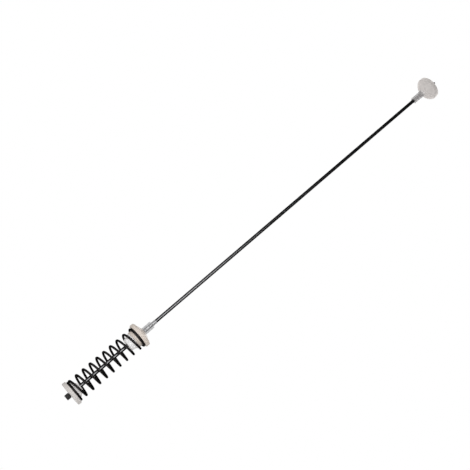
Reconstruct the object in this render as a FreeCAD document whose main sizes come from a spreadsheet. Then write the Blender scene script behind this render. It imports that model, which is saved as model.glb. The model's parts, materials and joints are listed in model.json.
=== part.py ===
import FreeCAD, Part
import math
import os
import Sketcher

# Suspension rod of a top-loading washing machine, hung from the ball at its top end.
# Millimetres, +Z up along the rod. The origin is on the rod's axis, where the ball's dome meets its neck.

doc = FreeCAD.newDocument("washer_suspension_rod")
dims = doc.addObject("Spreadsheet::Sheet", "dims")

SIZES = [
    ("rod_diameter", 4.76, "round steel rod, 3/16 inch"),
    ("rod_length", 686.5, "tip to tip, both paddles included"),
    ("lower_paddle_length", 6.5, "pressed end below the lower seat"),
    ("upper_paddle_length", 9.7, "pressed end above the ball"),
    ("upper_paddle_turn", 90.0, "degrees about the rod, upper flat against the lower"),
    ("paddle_width", 7.4, "across the flat end"),
    ("paddle_thickness", 2.55, "flat end, edge on"),
    ("flare_length", 1.2, "from the round rod to the full flat, within the pressed end"),
    ("bore_clearance", 0.05, "radial, where a moulding turns or slides on the rod"),
    ("seat_clearance", 0.1, "radial, where a moulding only rests on the rod"),
    ("ball_diameter", 34.0, "widest part of the ball"),
    ("dome_depth", 9.2, "from the ball's wall down to its neck"),
    ("ball_wall", 5.0, "straight wall between dome and top edge"),
    ("ball_edge", 1.2, "broken top edge"),
    ("ball_neck_diameter", 9.6, "neck below the dome"),
    ("ball_neck_length", 19.5, "dome to the neck's end"),
    ("spring_diameter", 30.2, "outside of the coil"),
    ("spring_length", 104.9, "free length"),
    ("wire_diameter", 3.0, "spring wire"),
    ("spring_turns", 10.7, "tip to tip"),
    ("closed_turns", 0.53, "flat at each end"),
    ("ramp_turns", 0.35, "from flat to full pitch"),
    ("spring_start", 194.0, "degrees about the rod, lower wire tip"),
    ("spring_gap", 0.1, "between the spring and the upper flange"),
    ("pilot_clearance", 0.55, "radial, between a pilot and the coil"),
    ("flange_diameter", 34.4, "upper seat"),
    ("flange_rim", 5.4, "height of the upper seat's rim"),
    ("rim_chamfer", 1.4, "broken edge above the rim"),
    ("cone_height", 4.3, "rim to neck"),
    ("upper_pilot_length", 7.5, "below the flange"),
    ("upper_neck_diameter", 10.0, "neck of the upper seat"),
    ("upper_neck_length", 14.0, "cone to the neck's end"),
    ("sleeve_diameter", 5.6, "thin tube of the friction sleeve"),
    ("sleeve_clearance", 0.05, "radial, between the sleeve and the upper seat"),
    ("sleeve_rise", 6.4, "of the tube above the neck"),
    ("nose_length", 9.7, "tapered end of the sleeve, below the pilot"),
    ("nose_diameter", 16.0, "small end of the nose"),
    ("disc_diameter", 33.2, "lower seat"),
    ("disc_thickness", 5.15, "lower seat"),
    ("lower_pilot_length", 3.6, "straight part above the disc"),
    ("lower_cone_height", 6.8, "tapered part above that"),
    ("lower_cone_diameter", 10.6, "small end of the taper"),
]

for row, (alias, value, note) in enumerate(SIZES, start=1):
    dims.set(f"A{row}", note)
    dims.set(f"B{row}", str(value))
    dims.setAlias(f"B{row}", alias)
doc.recompute()


def size(expression):
    """Number that an expression of the sheet's sizes gives."""
    return float(dims.evalExpression(expression))


# Lengths that several pieces share, in terms of the sheet
BALL_TOP = "(dims.dome_depth + dims.ball_wall + dims.ball_edge)"
ROD_FOOT = f"({BALL_TOP} + dims.upper_paddle_length - dims.rod_length)"
DISC_FOOT = f"({ROD_FOOT} + dims.lower_paddle_length)"
SPRING_FOOT = f"({DISC_FOOT} + dims.disc_thickness)"
FLANGE_FOOT = f"({SPRING_FOOT} + dims.spring_length + dims.spring_gap)"
PILOT_FOOT = f"({FLANGE_FOOT} - dims.upper_pilot_length)"
PILOT_RADIUS = "(dims.spring_diameter / 2 - dims.wire_diameter - dims.pilot_clearance)"
RUNNING_BORE = "(dims.rod_diameter / 2 + dims.bore_clearance)"
RESTING_BORE = "(dims.rod_diameter / 2 + dims.seat_clearance)"


def origin_plane(body, role):
    for feature in body.Origin.OriginFeatures:
        if feature.Role == role:
            return feature
    raise RuntimeError(f"{body.Label} has no {role}")


def new_body(label, foot):
    """Body whose own zero height stands at the given height of the part."""
    body = doc.addObject("PartDesign::Body", label)
    body.Label = label
    body.setExpression(".Placement.Base.z", foot)
    return body


def new_sketch(body, name, role, height=None, turn=None):
    sketch = body.newObject("Sketcher::SketchObject", name)
    sketch.AttachmentSupport = [(origin_plane(body, role), "")]
    sketch.MapMode = "FlatFace"
    if height:
        sketch.setExpression(".AttachmentOffset.Base.z", height)
    if turn:
        sketch.setExpression(".AttachmentOffset.Rotation.Angle", turn)
    return sketch


def bind(sketch, constraint, expression):
    """Add a dimension to a sketch and tie it to the sheet."""
    index = sketch.addConstraint(constraint)
    sketch.setExpression(f"Constraints[{index}]", expression)


def revolved(label, foot, outline):
    """Ring turned about the rod's axis. Each corner is a radius and a height, as expressions."""
    body = new_body(label, foot)
    sketch = new_sketch(body, label + "_section", "XZ_Plane")
    corners = [FreeCAD.Vector(size(radius), size(height), 0) for radius, height in outline]
    for i, corner in enumerate(corners):
        sketch.addGeometry(Part.LineSegment(corner, corners[(i + 1) % len(corners)]))
    for i, (radius, height) in enumerate(outline):
        after = (i + 1) % len(outline)
        sketch.addConstraint(Sketcher.Constraint("Coincident", i, 2, after, 1))
        bind(sketch, Sketcher.Constraint("DistanceX", -1, 1, i, 1, corners[i].x), radius)
        if height == "0":
            sketch.addConstraint(Sketcher.Constraint("PointOnObject", i, 1, -1))
        else:
            bind(sketch, Sketcher.Constraint("DistanceY", -1, 1, i, 1, corners[i].y), height)
    ring = body.newObject("PartDesign::Revolution", label + "_ring")
    ring.Profile = sketch
    ring.ReferenceAxis = (sketch, ["V_Axis"])
    ring.Angle = 360
    body.Tip = ring
    return body


# Suspension rod: a round shank, pressed to a flat paddle at both ends, just outside the two seats


def shank_sketch(body, name, height, turn=None):
    sketch = new_sketch(body, name, "XY_Plane", height, turn)
    radius = size("dims.rod_diameter / 2")
    up = FreeCAD.Vector(0, 0, 1)
    sketch.addGeometry(Part.Circle(FreeCAD.Vector(0, 0, 0), up, radius))
    sketch.addConstraint(Sketcher.Constraint("Coincident", 0, 3, -1, 1))
    bind(sketch, Sketcher.Constraint("Radius", 0, radius), "dims.rod_diameter / 2")
    return sketch


def paddle_sketch(body, name, height, turn=None):
    """Pressed section: two flats, with the edges still round."""
    sketch = new_sketch(body, name, "XY_Plane", height, turn)
    edge = size("dims.paddle_thickness / 2")
    reach = size("dims.paddle_width / 2") - edge
    up = FreeCAD.Vector(0, 0, 1)
    right = Part.Circle(FreeCAD.Vector(reach, 0, 0), up, edge)
    left = Part.Circle(FreeCAD.Vector(-reach, 0, 0), up, edge)
    sketch.addGeometry(Part.ArcOfCircle(right, -math.pi / 2, math.pi / 2))
    sketch.addGeometry(Part.LineSegment(FreeCAD.Vector(reach, edge, 0), FreeCAD.Vector(-reach, edge, 0)))
    sketch.addGeometry(Part.ArcOfCircle(left, math.pi / 2, 3 * math.pi / 2))
    sketch.addGeometry(Part.LineSegment(FreeCAD.Vector(-reach, -edge, 0), FreeCAD.Vector(reach, -edge, 0)))
    for edge_id in range(4):
        after = (edge_id + 1) % 4
        sketch.addConstraint(Sketcher.Constraint("Tangent", edge_id, 2, after, 1))
    sketch.addConstraint(Sketcher.Constraint("Equal", 0, 2))
    sketch.addConstraint(Sketcher.Constraint("Symmetric", 0, 3, 2, 3, -1, 1))
    sketch.addConstraint(Sketcher.Constraint("PointOnObject", 0, 3, -1))
    bind(sketch, Sketcher.Constraint("Radius", 0, edge), "dims.paddle_thickness / 2")
    bind(sketch, Sketcher.Constraint("DistanceX", 2, 3, 0, 3, 2 * reach),
         "dims.paddle_width - dims.paddle_thickness")
    return sketch


def padded(body, name, sketch, length):
    pad = body.newObject("PartDesign::Pad", name)
    pad.Profile = sketch
    pad.setExpression("Length", length)
    return pad


def lofted(body, name, first, last):
    loft = body.newObject("PartDesign::AdditiveLoft", name)
    loft.Profile = first
    loft.Sections = [last]
    return loft


rod = new_body("suspension_rod", ROD_FOOT)
shank_top = "dims.rod_length - dims.upper_paddle_length"
lower_flat_length = "dims.lower_paddle_length - dims.flare_length"
upper_flat_length = "dims.upper_paddle_length - dims.flare_length"
upper_flat_foot = f"{shank_top} + dims.flare_length"
upper_turn = "dims.upper_paddle_turn"

shank = shank_sketch(rod, "shank_section", "dims.lower_paddle_length")
padded(rod, "shank", shank, f"{shank_top} - dims.lower_paddle_length")
lower_flat = paddle_sketch(rod, "lower_flat_section", lower_flat_length)
lower_bar = shank_sketch(rod, "lower_flare_section", "dims.lower_paddle_length")
lofted(rod, "lower_flare", lower_flat, lower_bar)
upper_flat = paddle_sketch(rod, "upper_flat_section", upper_flat_foot, upper_turn)
upper_bar = shank_sketch(rod, "upper_flare_section", shank_top, upper_turn)
lofted(rod, "upper_flare", upper_flat, upper_bar)
lower_paddle = padded(rod, "lower_paddle", lower_flat, lower_flat_length)
lower_paddle.Reversed = True
upper_paddle = padded(rod, "upper_paddle", upper_flat, upper_flat_length)
rod.Tip = upper_paddle


# Ball bushing: neck, dome, short wall and broken top edge, which the upper paddle holds.
# The dome is a sphere about the rod's axis, through the neck's foot and the foot of the wall, and it is
# drawn as a few cones between points of that sphere.

DOME_CONES = 3

neck_end = "dims.ball_neck_length"
edge_foot = f"{neck_end} + dims.dome_depth + dims.ball_wall"
ball_top = f"{edge_foot} + dims.ball_edge"
ball_radius = "(dims.ball_diameter / 2)"
ball_neck = "(dims.ball_neck_diameter / 2)"
dome_reach = f"(({ball_radius}^2 - {ball_neck}^2 + dims.dome_depth^2) / (2 * dims.dome_depth))"
dome_radius = f"sqrt({ball_neck}^2 + {dome_reach}^2)"

dome_outline = []
for step in range(DOME_CONES + 1):
    dome_width = f"({ball_neck} + ({ball_radius} - {ball_neck}) * {step} / {DOME_CONES})"
    dome_height = f"{neck_end} + {dome_reach} - sqrt({dome_radius}^2 - {dome_width}^2)"
    dome_outline.append((dome_width, dome_height))

ball = revolved("ball_bushing", "-dims.ball_neck_length", [
    (RUNNING_BORE, "0"),
    (ball_neck, "0"),
    *dome_outline,
    (ball_radius, edge_foot),
    (f"{ball_radius} - dims.ball_edge", ball_top),
    (RUNNING_BORE, ball_top),
])


# Upper spring seat: pilot, flange with a plain rim, cone and neck

rim_top = "dims.upper_pilot_length + dims.flange_rim"
cone_top = f"{rim_top} + dims.cone_height"
upper_top = f"{cone_top} + dims.upper_neck_length"
flange_radius = "dims.flange_diameter / 2"
upper_neck = "dims.upper_neck_diameter / 2"
sleeve_radius = "dims.sleeve_diameter / 2"
sleeve_bore = f"{sleeve_radius} + dims.sleeve_clearance"
upper_seat = revolved("upper_spring_seat", PILOT_FOOT, [
    (sleeve_bore, "0"),
    (PILOT_RADIUS, "0"),
    (PILOT_RADIUS, "dims.upper_pilot_length"),
    (flange_radius, "dims.upper_pilot_length"),
    (flange_radius, f"{rim_top} - dims.rim_chamfer"),
    (f"{flange_radius} - dims.rim_chamfer", rim_top),
    (upper_neck, cone_top),
    (upper_neck, upper_top),
    (sleeve_bore, upper_top),
])


# Friction sleeve: a tapered nose against the pilot's end and a thin tube up through the neck

sleeve_top = f"dims.nose_length + {upper_top} + dims.sleeve_rise"
sleeve = revolved("friction_sleeve", f"{PILOT_FOOT} - dims.nose_length", [
    (RUNNING_BORE, "0"),
    ("dims.nose_diameter / 2", "0"),
    (PILOT_RADIUS, "dims.nose_length"),
    (sleeve_radius, "dims.nose_length"),
    (sleeve_radius, sleeve_top),
    (RUNNING_BORE, sleeve_top),
])


# Lower spring seat: a disc with a tapered pilot, which the lower paddle holds

disc_radius = "dims.disc_diameter / 2"
cone_foot = "dims.disc_thickness + dims.lower_pilot_length"
lower_top = f"{cone_foot} + dims.lower_cone_height"
lower_seat = revolved("lower_spring_seat", DISC_FOOT, [
    (RESTING_BORE, "0"),
    (disc_radius, "0"),
    (disc_radius, "dims.disc_thickness"),
    (PILOT_RADIUS, "dims.disc_thickness"),
    (PILOT_RADIUS, cone_foot),
    ("dims.lower_cone_diameter / 2", lower_top),
    (RESTING_BORE, lower_top),
])


# Coil spring: round wire drawn as a six-sided section of the same area, carried round a right-handed
# coil in straight facets. The pitch is nothing over the closed turns, grows over the ramps and is even
# between them. Two sides of the section lie level, so the closed turns sit flat on the seats.

WIRE_SIDES = 6
WIRE_FACETS = 144


def rise(turns_from_end, pitch):
    """Height gained from a wire tip, over its closed turn and ramp."""
    past_closed = turns_from_end - size("dims.closed_turns")
    ramp = size("dims.ramp_turns")
    if past_closed <= 0:
        return 0.0
    if past_closed <= ramp:
        return pitch * past_closed ** 2 / (2 * ramp)
    return pitch * (past_closed - ramp / 2)


def wire_section(turn, height, coil_radius, corner_radius):
    """Corners of the wire's section, so many turns from its lower tip."""
    angle = math.radians(size("dims.spring_start") + 360 * turn)
    outward = FreeCAD.Vector(math.cos(angle), math.sin(angle), 0)
    centre = outward * coil_radius + FreeCAD.Vector(0, 0, height)
    corners = []
    for side in range(WIRE_SIDES):
        around = 2 * math.pi * side / WIRE_SIDES
        lift = FreeCAD.Vector(0, 0, corner_radius * math.sin(around))
        corners.append(centre + outward * (corner_radius * math.cos(around)) + lift)
    return corners


def flat_face(corners):
    return Part.Face(Part.makePolygon(corners + corners[:1]))


def coil_shape():
    turns = size("dims.spring_turns")
    wire_radius = size("dims.wire_diameter / 2")
    coil_radius = size("dims.spring_diameter / 2") - wire_radius
    facet = 2 * math.pi / WIRE_SIDES
    corner_radius = wire_radius * math.sqrt(facet / math.sin(facet))
    half_height = corner_radius * math.cos(facet / 2)
    climb = size("dims.spring_length") - 2 * half_height
    even_turns = turns - 2 * size("dims.closed_turns") - size("dims.ramp_turns")
    pitch = climb / even_turns
    sections = []
    for station in range(WIRE_FACETS + 1):
        turn = turns * station / WIRE_FACETS
        if turn <= turns / 2:
            height = rise(turn, pitch)
        else:
            height = climb - rise(turns - turn, pitch)
        sections.append(wire_section(turn, half_height + height, coil_radius, corner_radius))
    faces = [flat_face(sections[0]), flat_face(sections[-1])]
    for near, far in zip(sections, sections[1:]):
        for side in range(WIRE_SIDES):
            after = (side + 1) % WIRE_SIDES
            faces.append(flat_face([near[side], near[after], far[side]]))
            faces.append(flat_face([near[after], far[after], far[side]]))
    solid = Part.Solid(Part.makeShell(faces))
    if solid.Volume < 0:
        solid.reverse()
    return solid


spring = doc.addObject("Part::Feature", "coil_spring")
spring.Label = "coil_spring"
spring.Shape = coil_shape()
spring.setExpression(".Placement.Base.z", SPRING_FOOT)

doc.recompute()

# Nothing is written unless every object is sound
for item in doc.Objects:
    if "Invalid" in item.State or "Error" in item.State:
        raise RuntimeError(f"{item.Label} failed: {item.State}")

PIECES = [rod, ball, upper_seat, sleeve, spring, lower_seat]
for piece in PIECES:
    if piece.Shape.isNull() or not piece.Shape.isValid() or len(piece.Shape.Solids) != 1:
        raise RuntimeError(f"{piece.Label} isn't one sound solid")

os.makedirs("parts", exist_ok=True)
for piece in PIECES:
    piece.Shape.exportStep(f"parts/{piece.Label}.step")
    box = piece.Shape.optimalBoundingBox()
    print(f"{piece.Label}: {piece.Shape.Volume:.1f} mm3, z {box.ZMin:.2f} to {box.ZMax:.2f}, "
          f"width {box.XLength:.2f}")
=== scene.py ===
import bpy
import json
import math
from mathutils import Matrix, Vector


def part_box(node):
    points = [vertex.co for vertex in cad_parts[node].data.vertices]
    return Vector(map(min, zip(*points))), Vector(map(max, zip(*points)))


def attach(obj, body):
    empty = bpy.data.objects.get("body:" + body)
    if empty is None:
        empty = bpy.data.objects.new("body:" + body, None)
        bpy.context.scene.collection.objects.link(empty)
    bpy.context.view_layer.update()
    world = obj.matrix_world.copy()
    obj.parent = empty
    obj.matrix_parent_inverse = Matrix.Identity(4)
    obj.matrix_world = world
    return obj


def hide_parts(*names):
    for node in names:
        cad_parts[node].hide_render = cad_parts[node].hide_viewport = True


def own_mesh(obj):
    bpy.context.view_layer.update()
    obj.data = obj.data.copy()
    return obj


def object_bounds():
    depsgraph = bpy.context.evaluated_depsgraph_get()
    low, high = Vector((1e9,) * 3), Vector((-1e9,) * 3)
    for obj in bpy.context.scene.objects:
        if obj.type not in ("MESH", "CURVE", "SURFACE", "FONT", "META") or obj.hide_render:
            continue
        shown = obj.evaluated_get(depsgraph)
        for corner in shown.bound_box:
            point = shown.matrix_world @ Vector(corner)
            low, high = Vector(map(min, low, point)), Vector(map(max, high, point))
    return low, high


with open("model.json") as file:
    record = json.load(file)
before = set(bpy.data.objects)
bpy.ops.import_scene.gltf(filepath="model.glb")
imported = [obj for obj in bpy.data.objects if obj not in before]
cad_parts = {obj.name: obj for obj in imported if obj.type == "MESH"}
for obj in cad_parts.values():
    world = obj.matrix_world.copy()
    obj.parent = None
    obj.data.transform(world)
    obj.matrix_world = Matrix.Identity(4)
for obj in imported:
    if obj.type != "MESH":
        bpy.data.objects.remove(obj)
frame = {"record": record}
cadLow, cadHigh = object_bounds()

mm = 0.001
mounts = {mount["name"]: mount for mount in frame["record"]["mounts"]}
print("frame loaded, box", [round(v, 4) for v in cadHigh - cadLow])


# shapes: turned rings and swept sections

def roundedOutline(corners, steps=6, edgeShare=0.48):
    # each corner is (radius, height, rounding); a rounding of 0 keeps it sharp
    points = []
    for i, (radius, height, rounding) in enumerate(corners):
        here = Vector((radius, height))
        if rounding <= 0:
            points.append(here)
            continue
        before = Vector(corners[i - 1][:2]) - here
        after = Vector(corners[(i + 1) % len(corners)][:2]) - here
        half = before.angle(after) / 2
        reach = min(rounding / math.tan(half), edgeShare * before.length, edgeShare * after.length)
        bend = reach * math.tan(half)
        middle = (before.normalized() + after.normalized()).normalized()
        centre = here + middle * (bend / math.sin(half))
        spokeA = here + before.normalized() * reach - centre
        spokeB = here + after.normalized() * reach - centre
        turn = spokeA.angle_signed(spokeB)
        for step in range(steps + 1):
            spoke = spokeA.copy()
            spoke.rotate(Matrix.Rotation(-turn * step / steps, 2))
            points.append(centre + spoke)
    return points


def meshPiece(name, verts, faces, sharpAngle=35):
    mesh = bpy.data.meshes.new(name)
    mesh.from_pydata(verts, [], faces)
    mesh.validate()
    mesh.shade_smooth()
    mesh.set_sharp_from_angle(angle=math.radians(sharpAngle))
    piece = bpy.data.objects.new(name, mesh)
    bpy.context.scene.collection.objects.link(piece)
    return piece


def turnedPiece(name, corners, sides=144):
    outline = roundedOutline(corners)
    count = len(outline)
    verts = []
    for side in range(sides):
        angle = 2 * math.pi * side / sides
        for point in outline:
            verts.append((point.x * math.cos(angle), point.x * math.sin(angle), point.y))
    faces = []
    for side in range(sides):
        here = side * count
        there = ((side + 1) % sides) * count
        for k in range(count):
            after = (k + 1) % count
            faces.append((here + k, there + k, there + after, here + after))
    return meshPiece(name, verts, faces)


def sweptPiece(name, rings):
    # rings are lists of points of equal length; both ends are closed by a flat cap
    sides = len(rings[0])
    verts = [point for ring in rings for point in ring]
    faces = []
    for row in range(len(rings) - 1):
        for k in range(sides):
            after = (k + 1) % sides
            low = row * sides
            faces.append((low + k, low + after, low + sides + after, low + sides + k))
    last = (len(rings) - 1) * sides
    faces.append(tuple(reversed(range(sides))))
    faces.append(tuple(range(last, last + sides)))
    return meshPiece(name, verts, faces)


def settle(piece, body, node, material):
    piece.data.materials.append(material)
    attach(piece, body)
    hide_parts(node)


def paintBand(piece, material, low, high, outside=0.0):
    # another finish on the faces between two heights, from a radius outwards
    finishes = piece.data.materials
    if material.name not in finishes:
        finishes.append(material)
    index = finishes.find(material.name)
    for face in piece.data.polygons:
        if low < face.center.z < high and face.center.xy.length > outside:
            face.material_index = index


# suspension rod: round bar with a pressed paddle at each end

rod = {
    "sides": 64,
    "barRadius": 2.38 * mm,
    "paddleThick": 2.55 * mm,
    "lowerPaddle": 6.5 * mm,
    "upperPaddle": 9.7 * mm,                    # lies across the lower one
    "flareLength": 1.2 * mm,
    "flareSteps": 8,
    "tipRound": 0.45 * mm,
    "tipSteps": 4,
    "shankStep": 12 * mm,
}


def rodSection(flatness, inset, height, across=False):
    # a circle at flatness 0, the paddle's stadium at 1, wide along X or, across, along Y
    low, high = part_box("suspension_rod")
    barRadius = rod["barRadius"]
    halfWide = (high.x - low.x) / 2 - inset
    halfThick = rod["paddleThick"] / 2 - inset
    straight = halfWide - halfThick
    quarter = rod["sides"] // 4
    arcShare = quarter // 2
    corner = []
    for k in range(quarter):
        if k < arcShare:
            bend = math.pi / 2 * k / arcShare
            flat = Vector((straight + halfThick * math.cos(bend), halfThick * math.sin(bend)))
        else:
            flat = Vector((straight * (quarter - k) / (quarter - arcShare), halfThick))
        around = math.pi / 2 * k / quarter
        bar = Vector((barRadius * math.cos(around), barRadius * math.sin(around)))
        corner.append(bar.lerp(flat, flatness))
    top = Vector((0, barRadius)).lerp(Vector((0, halfThick)), flatness)
    upperHalf = corner + [top] + [Vector((-p.x, p.y)) for p in reversed(corner[1:])]
    ring = upperHalf + [Vector((-p.x, -p.y)) for p in upperHalf]
    if across:
        ring = [Vector((-p.y, p.x)) for p in ring[-quarter:] + ring[:-quarter]]
    return [Vector((p.x, p.y, height)) for p in ring]


def pressedEnd(length):
    # (distance from the tip, flatness, inset) from the tip's rounded edge to the round bar
    stations = []
    for k in range(rod["tipSteps"] + 1):
        bend = math.pi / 2 * k / rod["tipSteps"]
        away = rod["tipRound"] * (1 - math.cos(bend))
        inset = rod["tipRound"] * (1 - math.sin(bend))
        stations.append((away, 1.0, inset))
    flatEnd = length - rod["flareLength"]
    stations.append((flatEnd / 2, 1.0, 0.0))
    for k in range(rod["flareSteps"] + 1):
        share = k / rod["flareSteps"]
        ease = share * share * (3 - 2 * share)
        stations.append((flatEnd + rod["flareLength"] * share, 1 - ease, 0.0))
    return stations


def buildRod():
    low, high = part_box("suspension_rod")
    rings = []
    for away, flatness, inset in pressedEnd(rod["lowerPaddle"]):
        rings.append(rodSection(flatness, inset, low.z + away))
    shankLow = low.z + rod["lowerPaddle"]
    shankHigh = high.z - rod["upperPaddle"]
    steps = math.ceil((shankHigh - shankLow) / rod["shankStep"])
    for k in range(1, steps):
        rings.append(rodSection(0.0, 0.0, shankLow + (shankHigh - shankLow) * k / steps))
    for away, flatness, inset in reversed(pressedEnd(rod["upperPaddle"])):
        rings.append(rodSection(flatness, inset, high.z - away, across=True))
    return sweptPiece("suspensionRod", rings)


# ball bushing: neck, spherical dome, short wall and rounded top edge

ball = {
    "bore": 2.43 * mm,
    "boreRound": 0.3 * mm,
    "neckRound": 0.5 * mm,
    "neckFillet": 0.8 * mm,
    "domeDepth": 9.2 * mm,
    "domeSteps": 10,
    "wallRound": 0.9 * mm,
    "topRound": 1.6 * mm,
}


def buildBall():
    low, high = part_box("ball_bushing")
    neck = mounts["ball_neck"]["dims"]["r_mm"] * mm
    wide = (high.x - low.x) / 2
    depth = ball["domeDepth"]
    reach = (wide ** 2 - neck ** 2 + depth ** 2) / (2 * depth)  # neck's foot up to the sphere's centre
    sphere = math.hypot(neck, reach)
    corners = [
        (ball["bore"], low.z, ball["boreRound"]),
        (neck, low.z, ball["neckRound"]),
        (neck, 0.0, ball["neckFillet"]),
    ]
    for k in range(1, ball["domeSteps"]):
        radius = neck + (wide - neck) * k / ball["domeSteps"]
        corners.append((radius, reach - math.sqrt(sphere ** 2 - radius ** 2), 0.0))
    corners.append((wide, depth, ball["wallRound"]))
    corners.append((wide, high.z, ball["topRound"]))
    corners.append((ball["bore"], high.z, ball["boreRound"]))
    corners.append((ball["bore"], 0.0, 0.0))
    return turnedPiece("ballBushing", corners)


# upper spring seat: pilot, flange, shallow cone and neck

upperSeat = {
    "bore": 2.85 * mm,
    "boreRound": 0.2 * mm,
    "pilotRadius": 11.55 * mm,
    "pilotLength": 7.5 * mm,
    "pilotRound": 0.5 * mm,
    "pilotFillet": 0.4 * mm,
    "footRound": 1.0 * mm,
    "rim": 5.4 * mm,
    "rimRound": 1.9 * mm,
    "neckFillet": 0.3 * mm,
    "neckRound": 0.4 * mm,
}


def buildUpperSeat():
    low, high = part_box("upper_spring_seat")
    wide = (high.x - low.x) / 2
    neckMount = mounts["tub_ear_neck"]
    neck = neckMount["dims"]["r_mm"] * mm
    neckFoot = neckMount["pos_m"][2]
    flangeFoot = low.z + upperSeat["pilotLength"]
    return turnedPiece("upperSpringSeat", [
        (upperSeat["bore"], low.z, upperSeat["boreRound"]),
        (upperSeat["pilotRadius"], low.z, upperSeat["pilotRound"]),
        (upperSeat["pilotRadius"], flangeFoot, upperSeat["pilotFillet"]),
        (wide, flangeFoot, upperSeat["footRound"]),
        (wide, flangeFoot + upperSeat["rim"], upperSeat["rimRound"]),
        (neck, neckFoot, upperSeat["neckFillet"]),
        (neck, high.z, upperSeat["neckRound"]),
        (upperSeat["bore"], high.z, upperSeat["boreRound"]),
        (upperSeat["bore"], neckFoot, 0.0),
    ])


# friction sleeve: tapered nose below the pilot, thin tube up through the neck

sleeve = {
    "bore": 2.43 * mm,
    "noseBoreRound": 0.3 * mm,
    "noseLength": 9.7 * mm,
    "noseRadius": 8.0 * mm,
    "noseRound": 1.2 * mm,
    "shoulderRound": 0.5 * mm,
    "tubeRadius": 2.8 * mm,
    "tubeRound": 0.15 * mm,
    "tubeBoreRound": 0.1 * mm,
}


def buildSleeve():
    low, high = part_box("friction_sleeve")
    wide = (high.x - low.x) / 2
    noseTop = low.z + sleeve["noseLength"]
    return turnedPiece("frictionSleeve", [
        (sleeve["bore"], low.z, sleeve["noseBoreRound"]),
        (sleeve["noseRadius"], low.z, sleeve["noseRound"]),
        (wide, noseTop, sleeve["shoulderRound"]),
        (sleeve["tubeRadius"], noseTop, 0.0),
        (sleeve["tubeRadius"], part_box("upper_spring_seat")[1].z, 0.0),
        (sleeve["tubeRadius"], high.z, sleeve["tubeRound"]),
        (sleeve["bore"], high.z, sleeve["tubeBoreRound"]),
        (sleeve["bore"], noseTop, 0.0),
    ])


# coil spring: round wire with a closed turn at each end

spring = {
    "diameter": 30.2 * mm,
    "wire": 3.0 * mm,
    "turns": 10.7,
    "closedTurns": 0.53,
    "rampTurns": 0.35,
    "startAngle": 194.0,
    "sides": 20,
    "stepsPerTurn": 80,
    "tipRound": 0.35 * mm,
    "tipSteps": 3,
}


def coilRise(turnsFromEnd, pitch):
    past = turnsFromEnd - spring["closedTurns"]
    ramp = spring["rampTurns"]
    if past <= 0:
        return 0.0
    if past <= ramp:
        return pitch * past ** 2 / (2 * ramp)
    return pitch * (past - ramp / 2)


def buildSpring():
    low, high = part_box("coil_spring")
    wire = spring["wire"] / 2
    coil = spring["diameter"] / 2 - wire
    turns = spring["turns"]
    climb = high.z - low.z - spring["wire"]
    pitch = climb / (turns - 2 * spring["closedTurns"] - spring["rampTurns"])
    nudge = 0.001                               # turns to either side, for the wire's direction

    def centreLine(turn):
        angle = math.radians(spring["startAngle"]) + 2 * math.pi * turn
        rise = coilRise(turn, pitch) if turn < turns / 2 else climb - coilRise(turns - turn, pitch)
        return Vector((coil * math.cos(angle), coil * math.sin(angle), low.z + wire + rise))

    tip = []                                    # (turn, wire radius), with rounded cut ends
    tipRound = spring["tipRound"]
    tipTurn = tipRound / (2 * math.pi * coil)
    for k in range(spring["tipSteps"] + 1):
        bend = math.pi / 2 * k / spring["tipSteps"]
        tip.append((tipTurn * (1 - math.cos(bend)), wire - tipRound * (1 - math.sin(bend))))
    steps = math.ceil(turns * spring["stepsPerTurn"])
    body = [(turns * k / steps, wire) for k in range(1, steps)]
    stations = tip + body + [(turns - turn, radius) for turn, radius in reversed(tip)]

    rings = []
    wirePlace = []                              # the same points on the wire pulled straight
    drawn = 0.0
    last = centreLine(0.0)
    for turn, radius in stations:
        centre = centreLine(turn)
        drawn += (centre - last).length
        last = centre
        along = (centreLine(turn + nudge) - centreLine(turn - nudge)).normalized()
        outward = Vector((centre.x, centre.y, 0)).normalized()
        side = along.cross(outward).normalized()
        ring = []
        for k in range(spring["sides"]):
            around = 2 * math.pi * k / spring["sides"]
            out, over = radius * math.cos(around), radius * math.sin(around)
            ring.append(centre + outward * out + side * over)
            wirePlace.extend((out, over, drawn))
        rings.append(ring)
    piece = sweptPiece("coilSpring", rings)
    place = piece.data.attributes.new("wirePlace", "FLOAT_VECTOR", "POINT")
    place.data.foreach_set("vector", wirePlace)
    return piece


# lower spring seat: plain disc with a tapered pilot

lowerSeat = {
    "bore": 2.48 * mm,
    "boreRound": 0.2 * mm,
    "discThick": 5.15 * mm,
    "discRound": 0.8 * mm,
    "pilotRadius": 11.55 * mm,
    "pilotLength": 3.6 * mm,
    "pilotFillet": 0.4 * mm,
    "pilotRound": 0.8 * mm,
    "topRadius": 5.3 * mm,
    "topRound": 0.6 * mm,
}


def buildLowerSeat():
    low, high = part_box("lower_spring_seat")
    wide = (high.x - low.x) / 2
    discTop = low.z + lowerSeat["discThick"]
    pilotTop = discTop + lowerSeat["pilotLength"]
    return turnedPiece("lowerSpringSeat", [
        (lowerSeat["bore"], low.z, lowerSeat["boreRound"]),
        (wide, low.z, lowerSeat["discRound"]),
        (wide, discTop, lowerSeat["discRound"]),
        (lowerSeat["pilotRadius"], discTop, lowerSeat["pilotFillet"]),
        (lowerSeat["pilotRadius"], pilotTop, lowerSeat["pilotRound"]),
        (lowerSeat["topRadius"], high.z, lowerSeat["topRound"]),
        (lowerSeat["bore"], high.z, lowerSeat["boreRound"]),
    ])


# finishes: effects that several materials share are node groups

def addNode(tree, kind, **settings):
    node = tree.nodes.new(kind)
    for key, value in settings.items():
        setattr(node, key, value)
    return node


def feed(tree, socket, source):
    # a socket takes a link or a plain value
    if isinstance(source, bpy.types.NodeSocket):
        tree.links.new(source, socket)
    else:
        socket.default_value = source


def addMath(tree, operation, first, second=0.0):
    node = addNode(tree, "ShaderNodeMath", operation=operation)
    feed(tree, node.inputs[0], first)
    feed(tree, node.inputs[1], second)
    return node.outputs[0]


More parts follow.
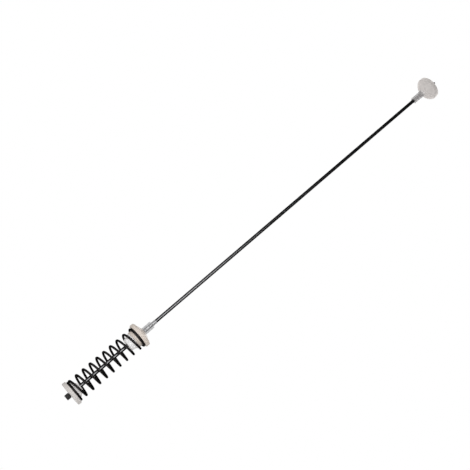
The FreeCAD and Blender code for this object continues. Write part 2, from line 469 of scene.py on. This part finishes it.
def addRange(tree, value, fromMin, fromMax, toMin=0.0, toMax=1.0):
    node = addNode(tree, "ShaderNodeMapRange")
    for name, source in (("Value", value), ("From Min", fromMin), ("From Max", fromMax),
                         ("To Min", toMin), ("To Max", toMax)):
        feed(tree, node.inputs[name], source)
    return node.outputs["Result"]


def addMix(tree, share, first, second):
    node = addNode(tree, "ShaderNodeMix", data_type="RGBA")
    feed(tree, node.inputs[0], share)
    feed(tree, node.inputs[6], first)
    feed(tree, node.inputs[7], second)
    return node.outputs[2]


def addNoise(tree, place, scale, detail=3.0):
    node = addNode(tree, "ShaderNodeTexNoise")
    for name, source in (("Vector", place), ("Scale", scale), ("Detail", detail)):
        feed(tree, node.inputs[name], source)
    return node.outputs["Fac"]


def newGroup(name, inputs, outputs):
    group = bpy.data.node_groups.new(name, "ShaderNodeTree")
    for label, kind in inputs:
        group.interface.new_socket(label, in_out="INPUT", socket_type="NodeSocket" + kind)
    for label, kind in outputs:
        group.interface.new_socket(label, in_out="OUTPUT", socket_type="NodeSocket" + kind)
    entry = addNode(group, "NodeGroupInput")
    leave = addNode(group, "NodeGroupOutput")
    return group, entry.outputs, leave.inputs


moulded = {
    "cloudRange": (0.35, 0.68),
    "cloudShare": 0.55,                         # of the roughness, the rest is grain
    "grainScale": 2600.0,
    "grainDetail": 2.0,
    "toolScale": 420.0,
    "toolBend": 1.5,
    "toolDetail": 2.0,
    "toolHeight": 0.3,
    "roughRange": (0.35, 0.65),
}


def mouldedSkinGroup():
    # clouded colour of natural plastic, tool marks round the axis, fine spark grain
    group, given, made = newGroup(
        "mouldedSkin",
        [("Place", "Vector"), ("Pale", "Color"), ("Deep", "Color"), ("Cloud Scale", "Float"),
         ("Rough Low", "Float"), ("Rough High", "Float")],
        [("Colour", "Color"), ("Roughness", "Float"), ("Height", "Float")])
    cloud = addNoise(group, given["Place"], given["Cloud Scale"])
    grain = addNoise(group, given["Place"], moulded["grainScale"], moulded["grainDetail"])
    tool = addNode(group, "ShaderNodeTexWave", wave_type="BANDS", bands_direction="Z")
    for name, source in (("Vector", given["Place"]), ("Scale", moulded["toolScale"]),
                         ("Distortion", moulded["toolBend"]), ("Detail Scale", moulded["toolDetail"])):
        feed(group, tool.inputs[name], source)
    clouded = addRange(group, cloud, *moulded["cloudRange"])
    feed(group, made["Colour"], addMix(group, clouded, given["Pale"], given["Deep"]))
    cloudPart = addMath(group, "MULTIPLY", cloud, moulded["cloudShare"])
    grainPart = addMath(group, "MULTIPLY", grain, 1 - moulded["cloudShare"])
    rough = addRange(group, addMath(group, "ADD", cloudPart, grainPart), *moulded["roughRange"],
                     given["Rough Low"], given["Rough High"])
    feed(group, made["Roughness"], rough)
    marks = addMath(group, "MULTIPLY", tool.outputs["Fac"], moulded["toolHeight"])
    feed(group, made["Height"], addMath(group, "ADD", marks, grain))
    return group


coated = {
    "streakScale": (1600.0, 1600.0, 45.0),      # drawn out along the wire
    "streakDetail": 4.0,
    "streakRange": (0.5, 0.75),
    "patchScale": 160.0,
    "patchRange": (0.4, 0.65),
    "patchShare": 0.5,                          # of the roughness, the rest is streaks
    "grainScale": 3200.0,
    "grainDetail": 2.0,
    "grainHeight": 0.5,
    "roughRange": (0.35, 0.65),
}


def blackCoatGroup():
    # black coating on drawn wire: streaks along it, cloudy patches, a fine crystal grain
    group, given, made = newGroup(
        "blackCoat",
        [("Place", "Vector"), ("Coat", "Color"), ("Worn", "Color"), ("Rough Low", "Float"),
         ("Rough High", "Float")],
        [("Colour", "Color"), ("Roughness", "Float"), ("Height", "Float")])
    stretch = addNode(group, "ShaderNodeVectorMath", operation="MULTIPLY")
    feed(group, stretch.inputs[0], given["Place"])
    feed(group, stretch.inputs[1], coated["streakScale"])
    streak = addNoise(group, stretch.outputs[0], 1.0, coated["streakDetail"])
    patch = addNoise(group, given["Place"], coated["patchScale"])
    grain = addNoise(group, given["Place"], coated["grainScale"], coated["grainDetail"])
    streaky = addRange(group, streak, *coated["streakRange"])
    patchy = addRange(group, patch, *coated["patchRange"])
    worn = addMath(group, "MULTIPLY", streaky, patchy)
    feed(group, made["Colour"], addMix(group, worn, given["Coat"], given["Worn"]))
    patchPart = addMath(group, "MULTIPLY", patch, coated["patchShare"])
    streakPart = addMath(group, "MULTIPLY", streak, 1 - coated["patchShare"])
    rough = addRange(group, addMath(group, "ADD", streakPart, patchPart), *coated["roughRange"],
                     given["Rough Low"], given["Rough High"])
    feed(group, made["Roughness"], rough)
    raised = addMath(group, "MULTIPLY", grain, coated["grainHeight"])
    feed(group, made["Height"], addMath(group, "ADD", streak, raised))
    return group


mouldedSkin = mouldedSkinGroup()
blackCoat = blackCoatGroup()


def dressedMaterial(name, group, place, values, bump, fixed):
    # one Principled shader, fed by a group; fixed values stay on the shader's own sockets
    material = bpy.data.materials.new(name)
    material.use_nodes = True
    tree = material.node_tree
    shader = tree.nodes["Principled BSDF"]
    if place == "wire":
        source = addNode(tree, "ShaderNodeAttribute", attribute_name="wirePlace").outputs["Vector"]
    else:
        source = addNode(tree, "ShaderNodeTexCoord").outputs["Object"]
    skin = addNode(tree, "ShaderNodeGroup", node_tree=group)
    feed(tree, skin.inputs["Place"], source)
    for label, value in values.items():
        skin.inputs[label].default_value = value
    raised = addNode(tree, "ShaderNodeBump")
    raised.inputs["Strength"].default_value = bump["strength"]
    raised.inputs["Distance"].default_value = bump["depth"]
    feed(tree, raised.inputs["Height"], skin.outputs["Height"])
    feed(tree, shader.inputs["Base Color"], skin.outputs["Colour"])
    feed(tree, shader.inputs["Roughness"], skin.outputs["Roughness"])
    feed(tree, shader.inputs["Normal"], raised.outputs["Normal"])
    for label, value in fixed.items():
        shader.inputs[label].default_value = value
    return material


def skinValues(pale, deep, cloudScale, rough):
    return {"Pale": (*pale, 1), "Deep": (*deep, 1), "Cloud Scale": cloudScale,
            "Rough Low": rough[0], "Rough High": rough[1]}


def steelFinish(name, coat, worn, rough, place="object"):
    # a dark metal; the specular tint keeps its edges dark too
    return dressedMaterial(
        name, blackCoat, place,
        {"Coat": (*coat, 1), "Worn": (*worn, 1), "Rough Low": rough[0], "Rough High": rough[1]},
        {"strength": 0.2, "depth": 0.04 * mm},
        {"Metallic": 1.0, "Specular Tint": (0.25, 0.25, 0.25, 1)})


def plasticFinish(name, pale, deep, cloudScale=130.0, rough=(0.38, 0.55), sheen=0.0):
    # the sheen gives milky plastic its paler edges
    return dressedMaterial(
        name, mouldedSkin, "object", skinValues(pale, deep, cloudScale, rough),
        {"strength": 0.15, "depth": 0.05 * mm},
        {"Specular IOR Level": 0.4, "Sheen Weight": sheen, "Sheen Roughness": 0.75,
         "Sheen Tint": (1.0, 0.94, 0.91, 1)})


def thinFinish(name, pale, deep, rough, cover, cloudScale=220.0):
    # thin glossy walls that the rod shows through
    return dressedMaterial(
        name, mouldedSkin, "object", skinValues(pale, deep, cloudScale, rough),
        {"strength": 0.1, "depth": 0.04 * mm},
        {"Alpha": cover, "IOR": 1.9, "Coat Weight": 1.0, "Coat IOR": 1.9, "Coat Roughness": 0.1})


def shiftUp(material, low, high, colour, cover=None):
    # the colour, and the cover of a thin wall, change over a height
    tree = material.node_tree
    shader = tree.nodes["Principled BSDF"]
    place = addNode(tree, "ShaderNodeSeparateXYZ")
    feed(tree, place.inputs[0], addNode(tree, "ShaderNodeTexCoord").outputs["Object"])
    skin = shader.inputs["Base Color"].links[0].from_socket
    rise = addRange(tree, place.outputs["Z"], low, high)
    feed(tree, shader.inputs["Base Color"], addMix(tree, rise, skin, (*colour, 1)))
    if cover:
        alpha = shader.inputs["Alpha"]
        feed(tree, alpha, addRange(tree, place.outputs["Z"], low, high, alpha.default_value, cover))


blackSteel = steelFinish(
    "blackSteel", coat=(0.12, 0.12, 0.123), worn=(0.18, 0.18, 0.18), rough=(0.17, 0.27))
# painted shade: the paddles get a darker copy of the rod's steel, dimming the lamps' reflection in them,
# with a rougher face
paddleSteelPaintedDark = steelFinish(
    "paddleSteelPaintedDark", coat=(0.03, 0.029, 0.029), worn=(0.055, 0.053, 0.052), rough=(0.45, 0.6))
springSteel = steelFinish(
    "springSteel", coat=(0.026, 0.024, 0.024), worn=(0.05, 0.045, 0.043), rough=(0.3, 0.44),
    place="wire")
milkyPlastic = plasticFinish(
    "milkyPlastic", pale=(0.45, 0.425, 0.415), deep=(0.42, 0.395, 0.385), cloudScale=150.0,
    rough=(0.4, 0.55), sheen=1.0)
milkyThin = thinFinish(
    "milkyThin", pale=(0.57, 0.55, 0.55), deep=(0.52, 0.5, 0.5), rough=(0.35, 0.5), cover=0.58)
creamPlastic = plasticFinish("creamPlastic", pale=(0.65, 0.58, 0.52), deep=(0.61, 0.54, 0.485))
palePlastic = plasticFinish("palePlastic", pale=(0.6, 0.57, 0.55), deep=(0.565, 0.535, 0.515))
# painted light: the lower seat's pilot gets a paler copy of the disc's plastic, to offset the shade of
# the spring around it
pilotPaintedLight = plasticFinish("pilotPaintedLight", pale=(0.9, 0.88, 0.87), deep=(0.86, 0.84, 0.83), sheen=1.0)
whitePlastic = plasticFinish(
    "whitePlastic", pale=(0.95, 0.95, 0.96), deep=(0.92, 0.92, 0.93), cloudScale=140.0,
    rough=(0.3, 0.45), sheen=1.0)
clearPlastic = thinFinish(
    "clearPlastic", pale=(0.42, 0.42, 0.43), deep=(0.38, 0.38, 0.39), rough=(0.16, 0.26), cover=0.4)
whiteThin = thinFinish(
    "whiteThin", pale=(0.66, 0.66, 0.67), deep=(0.6, 0.6, 0.61), rough=(0.16, 0.26), cover=0.5)
innerSkin = thinFinish(
    "innerSkin", pale=(0.8, 0.8, 0.8), deep=(0.75, 0.75, 0.75), rough=(0.3, 0.45), cover=0.06)

# painted shade: the ball is darker towards its top, and its neck milkier towards the ball
shiftUp(milkyPlastic, low=3 * mm, high=11 * mm, colour=(0.39, 0.368, 0.357))
# painted light: the neck is also painted paler towards the ball, to offset the shade of the dome seen
# through it
shiftUp(milkyThin, low=-6 * mm, high=-1 * mm, colour=(0.68, 0.65, 0.64), cover=0.9)
print("finishes made")

rodPiece = buildRod()
rodLow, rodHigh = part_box("suspension_rod")
settle(rodPiece, "rod", "suspension_rod", blackSteel)
# the paddles are painted darker than the bar: painted shade
paintBand(rodPiece, paddleSteelPaintedDark, rodLow.z - mm, rodLow.z + rod["lowerPaddle"])
paintBand(rodPiece, paddleSteelPaintedDark, rodHigh.z - rod["upperPaddle"], rodHigh.z + mm)

# the thin walls are see-through, so their inner faces hardly show
pastBore = 1.01                                 # leaves out the bore's own faces
ballPiece = buildBall()
settle(ballPiece, "ball", "ball_bushing", milkyPlastic)
paintBand(ballPiece, innerSkin, cadLow.z, 0.0)
paintBand(ballPiece, milkyThin, cadLow.z, 0.0, pastBore * ball["bore"])

neckFoot, neckTop = mounts["tub_ear_neck"]["pos_m"][2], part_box("upper_spring_seat")[1].z
seatPiece = buildUpperSeat()
settle(seatPiece, "seat", "upper_spring_seat", creamPlastic)
paintBand(seatPiece, innerSkin, neckFoot, cadHigh.z)
paintBand(seatPiece, clearPlastic, neckFoot, cadHigh.z, pastBore * upperSeat["bore"])

sleevePiece = buildSleeve()
settle(sleevePiece, "seat", "friction_sleeve", whitePlastic)
paintBand(sleevePiece, innerSkin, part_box("friction_sleeve")[0].z + sleeve["noseLength"], cadHigh.z)
paintBand(sleevePiece, whiteThin, neckTop, cadHigh.z, pastBore * sleeve["bore"])

lowerPiece = buildLowerSeat()
settle(lowerPiece, "rod", "lower_spring_seat", palePlastic)
# the pilot is painted lighter than its disc: painted light
paintBand(lowerPiece, pilotPaintedLight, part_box("lower_spring_seat")[0].z + lowerSeat["discThick"], cadHigh.z)

springPiece = buildSpring()
settle(springPiece, "rod", "coil_spring", springSteel)
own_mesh(springPiece)
print("pieces built")


# camera: beside the spring end, looking up along the rod and rolled

view = {
    "away": 1.0904,
    "belowTip": 0.02625,
    "pan": -0.992,
    "tilt": 16.8,
    "roll": 49.722,
    "focalPixels": 850.0,
    "imagePixels": 470.0,
    "sensor": 36.0,
    "clipStart": 0.01,
}


def placeCamera():
    camera = bpy.data.cameras.new("camera")
    camera.sensor_width = view["sensor"]
    camera.lens = view["sensor"] * view["focalPixels"] / view["imagePixels"]
    camera.clip_start = view["clipStart"]
    pan = math.radians(view["pan"])
    tilt = math.radians(view["tilt"])
    roll = math.radians(view["roll"])
    forward = Vector((math.sin(pan) * math.cos(tilt), math.cos(pan) * math.cos(tilt), math.sin(tilt)))
    level = forward.cross(Vector((0, 0, 1))).normalized()
    upright = level.cross(forward)
    up = upright * math.cos(roll) - level * math.sin(roll)
    right = forward.cross(up)
    place = Matrix((right, up, -forward)).transposed().to_4x4()
    place.translation = Vector((0, -view["away"], cadLow.z - view["belowTip"]))
    holder = bpy.data.objects.new("camera", camera)
    holder.matrix_world = place
    bpy.context.scene.collection.objects.link(holder)
    bpy.context.scene.camera = holder


placeCamera()
print("camera placed")


# studio: white surround, pale floor and soft boxes

studio = {
    "ambient": (0.28, 0.98),                    # from the front and from behind
    "ambientSweep": (-0.5, 0.4),
    "gloss": (0.04, 1.0),                       # in reflections the room behind the camera is dim
    "glossSweep": (0.55, 0.95),
}

floor = {
    "drop": 0.3,
    "radius": 3.0,
    "rings": 12,
    "sides": 96,
    "fade": (0.3, 1.2),                         # to plain white, outwards
    "colour": (0.86, 0.86, 0.85),
    "mottled": 0.97,
    "mottleScale": 9.0,
    "mottleRange": (0.3, 0.7),
    "roughness": 0.8,
}

lamps = [
    {"name": "wideBox", "place": (-0.2, -1.7, -0.24), "aim": (0, 0, -0.35),
     "size": (3.0, 0.7), "radiance": 1.25},
    {"name": "hotBox", "place": (0.12, -1.65, -0.28), "aim": (0, 0, -0.3),
     "size": (0.4, 0.72), "radiance": 6.2},
    {"name": "lowBox", "place": (-0.2, -1.3, -0.8), "aim": (0, 0, -0.1),
     "size": (2.0, 0.24), "radiance": 3.0},
    {"name": "rearBox", "place": (0.5, 1.6, 0.9), "aim": (0, 0, -0.35),
     "size": (1.8, 0.9), "radiance": 2.5},
]


def buildWorld():
    world = bpy.data.worlds.new("surround")
    bpy.context.scene.world = world
    world.use_nodes = True
    tree = world.node_tree
    background = tree.nodes["Background"]
    background.inputs["Color"].default_value = (1, 1, 1, 1)
    heading = addNode(tree, "ShaderNodeSeparateXYZ")
    feed(tree, heading.inputs[0], addNode(tree, "ShaderNodeTexCoord").outputs["Generated"])
    gloss = addRange(tree, heading.outputs["Y"], *studio["glossSweep"], *studio["gloss"])
    ambient = addRange(tree, heading.outputs["Y"], *studio["ambientSweep"], *studio["ambient"])
    path = addNode(tree, "ShaderNodeLightPath").outputs
    seen = addMath(tree, "MAXIMUM", path["Is Camera Ray"], path["Is Transmission Ray"])
    shown = addMath(tree, "MAXIMUM", seen, addMath(tree, "MULTIPLY", path["Is Glossy Ray"], gloss))
    lit = addMath(tree, "MULTIPLY", path["Is Diffuse Ray"], ambient)
    feed(tree, background.inputs["Strength"], addMath(tree, "MAXIMUM", shown, lit))


def floorPaper():
    # pale paper that fades to the white of the surround wherever it shows
    material = bpy.data.materials.new("floorPaper")
    material.use_nodes = True
    tree = material.node_tree
    shader = tree.nodes["Principled BSDF"]
    place = addNode(tree, "ShaderNodeTexCoord").outputs["Object"]
    pale = floor["colour"]
    deep = [floor["mottled"] * v for v in pale]
    mottle = addRange(tree, addNoise(tree, place, floor["mottleScale"]), *floor["mottleRange"])
    feed(tree, shader.inputs["Base Color"], addMix(tree, mottle, (*pale, 1), (*deep, 1)))
    shader.inputs["Roughness"].default_value = floor["roughness"]
    white = addNode(tree, "ShaderNodeEmission")
    reach = addNode(tree, "ShaderNodeVectorMath", operation="LENGTH")
    feed(tree, reach.inputs[0], place)
    fade = addRange(tree, reach.outputs["Value"], *floor["fade"])
    path = addNode(tree, "ShaderNodeLightPath").outputs
    direct = addMath(tree, "MAXIMUM", path["Is Camera Ray"], path["Is Glossy Ray"])
    shown = addMath(tree, "MAXIMUM", direct, path["Is Transmission Ray"])
    blend = addNode(tree, "ShaderNodeMixShader")
    feed(tree, blend.inputs[0], addMath(tree, "MULTIPLY", fade, shown))
    feed(tree, blend.inputs[1], shader.outputs[0])
    feed(tree, blend.inputs[2], white.outputs[0])
    feed(tree, tree.nodes["Material Output"].inputs["Surface"], blend.outputs[0])
    return material


def buildFloor():
    rings, sides = floor["rings"], floor["sides"]
    height = cadLow.z - floor["drop"]
    verts = [(0, 0, height)]
    faces = []
    for ring in range(1, rings + 1):
        reach = floor["radius"] * ring / rings
        for side in range(sides):
            angle = 2 * math.pi * side / sides
            verts.append((reach * math.cos(angle), reach * math.sin(angle), height))
    for side in range(sides):
        after = (side + 1) % sides
        faces.append((0, 1 + side, 1 + after))
        for ring in range(rings - 1):
            near, far = 1 + ring * sides, 1 + (ring + 1) * sides
            faces.append((near + side, far + side, far + after, near + after))
    piece = meshPiece("floor", verts, faces)
    piece.data.materials.append(floorPaper())


def softBox(name, place, aim, size, radiance):
    lamp = bpy.data.lights.new(name, "AREA")
    lamp.shape = "RECTANGLE"
    lamp.size, lamp.size_y = size
    lamp.energy = radiance * math.pi * size[0] * size[1]
    holder = bpy.data.objects.new(name, lamp)
    holder.location = place
    holder.rotation_euler = (Vector(aim) - Vector(place)).to_track_quat("-Z", "Y").to_euler()
    bpy.context.scene.collection.objects.link(holder)


buildWorld()
buildFloor()
for lamp in lamps:
    softBox(**lamp)
print("studio lit")

bpy.context.scene.view_settings.view_transform = "Standard"

print("scene ready")
